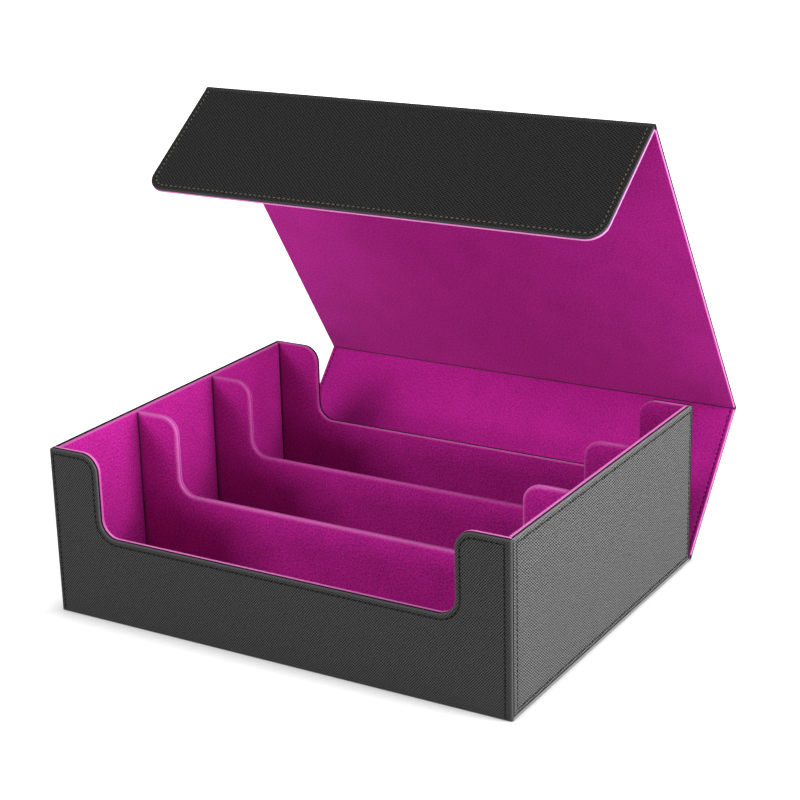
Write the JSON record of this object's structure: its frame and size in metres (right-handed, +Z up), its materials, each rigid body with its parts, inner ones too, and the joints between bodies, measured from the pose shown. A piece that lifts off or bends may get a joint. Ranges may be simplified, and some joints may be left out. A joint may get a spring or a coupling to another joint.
{
  "type": "trading card storage box",
  "caption": "Open-topped three-row card tray in stitched leather with suede lining and dividers, under a folding cover with a magnetic front flap.",
  "frame": {"origin": "on the table, under the middle of the tray", "axes": "+Z up, +Y from the tray's front to the cover's hinge, +X to the right as seen from the front"},
  "size_m": [0.305, 0.3136, 0.2884],
  "materials": {
    "leather": "fine cross-grain, satin",
    "suede_lining": "short-nap microsuede",
    "board": "grey board",
    "magnet": "nickel plated"
  },
  "bodies": {
    "tray": {"cover_bottom_leather": "leather", "cover_bottom_board": "board", "floor_board": "board", "floor_lining": "suede_lining", "front_wall_leather": "leather", "front_wall_board": "board", "front_wall_lining": "suede_lining", "back_wall_leather": "leather", "back_wall_board": "board", "back_wall_lining": "suede_lining", "left_wall_leather": "leather", "left_wall_board": "board", "left_wall_lining": "suede_lining", "right_wall_leather": "leather", "right_wall_board": "board", "right_wall_lining": "suede_lining", "divider_1_board": "board", "divider_1_suede": "suede_lining", "divider_2_board": "board", "divider_2_suede": "suede_lining", "front_wall_magnets": "magnet"},
    "cover_back": {"cover_back_leather": "leather", "cover_back_board": "board", "cover_back_lining": "suede_lining", "rear_fold_core": "leather"},
    "lid": {"lid_leather": "leather", "lid_board": "board", "lid_lining": "suede_lining", "lid_fold_core": "leather"},
    "flap": {"flap_leather": "leather", "flap_board": "board", "flap_lining": "suede_lining", "flap_fold_core": "leather", "flap_magnets": "magnet"}
  },
  "joints": [
    {"name": "rear_fold", "type": "hinge", "parent": "tray", "child": "cover_back", "pos_m": [0, 0.1224, 0.0015], "axis": [1, 0, 0], "range_deg": [-48.3, 41.7]},
    {"name": "lid_fold", "type": "hinge", "parent": "cover_back", "child": "lid", "pos_m": [0, 0.19212, 0.07975], "axis": [1, 0, 0], "range_deg": [-75.2, 14.8]},
    {"name": "flap_fold", "type": "hinge", "parent": "lid", "child": "flap", "pos_m": [0, 0.05502, 0.28689], "axis": [1, 0, 0], "range_deg": [-92.5, 0]}
  ]
}
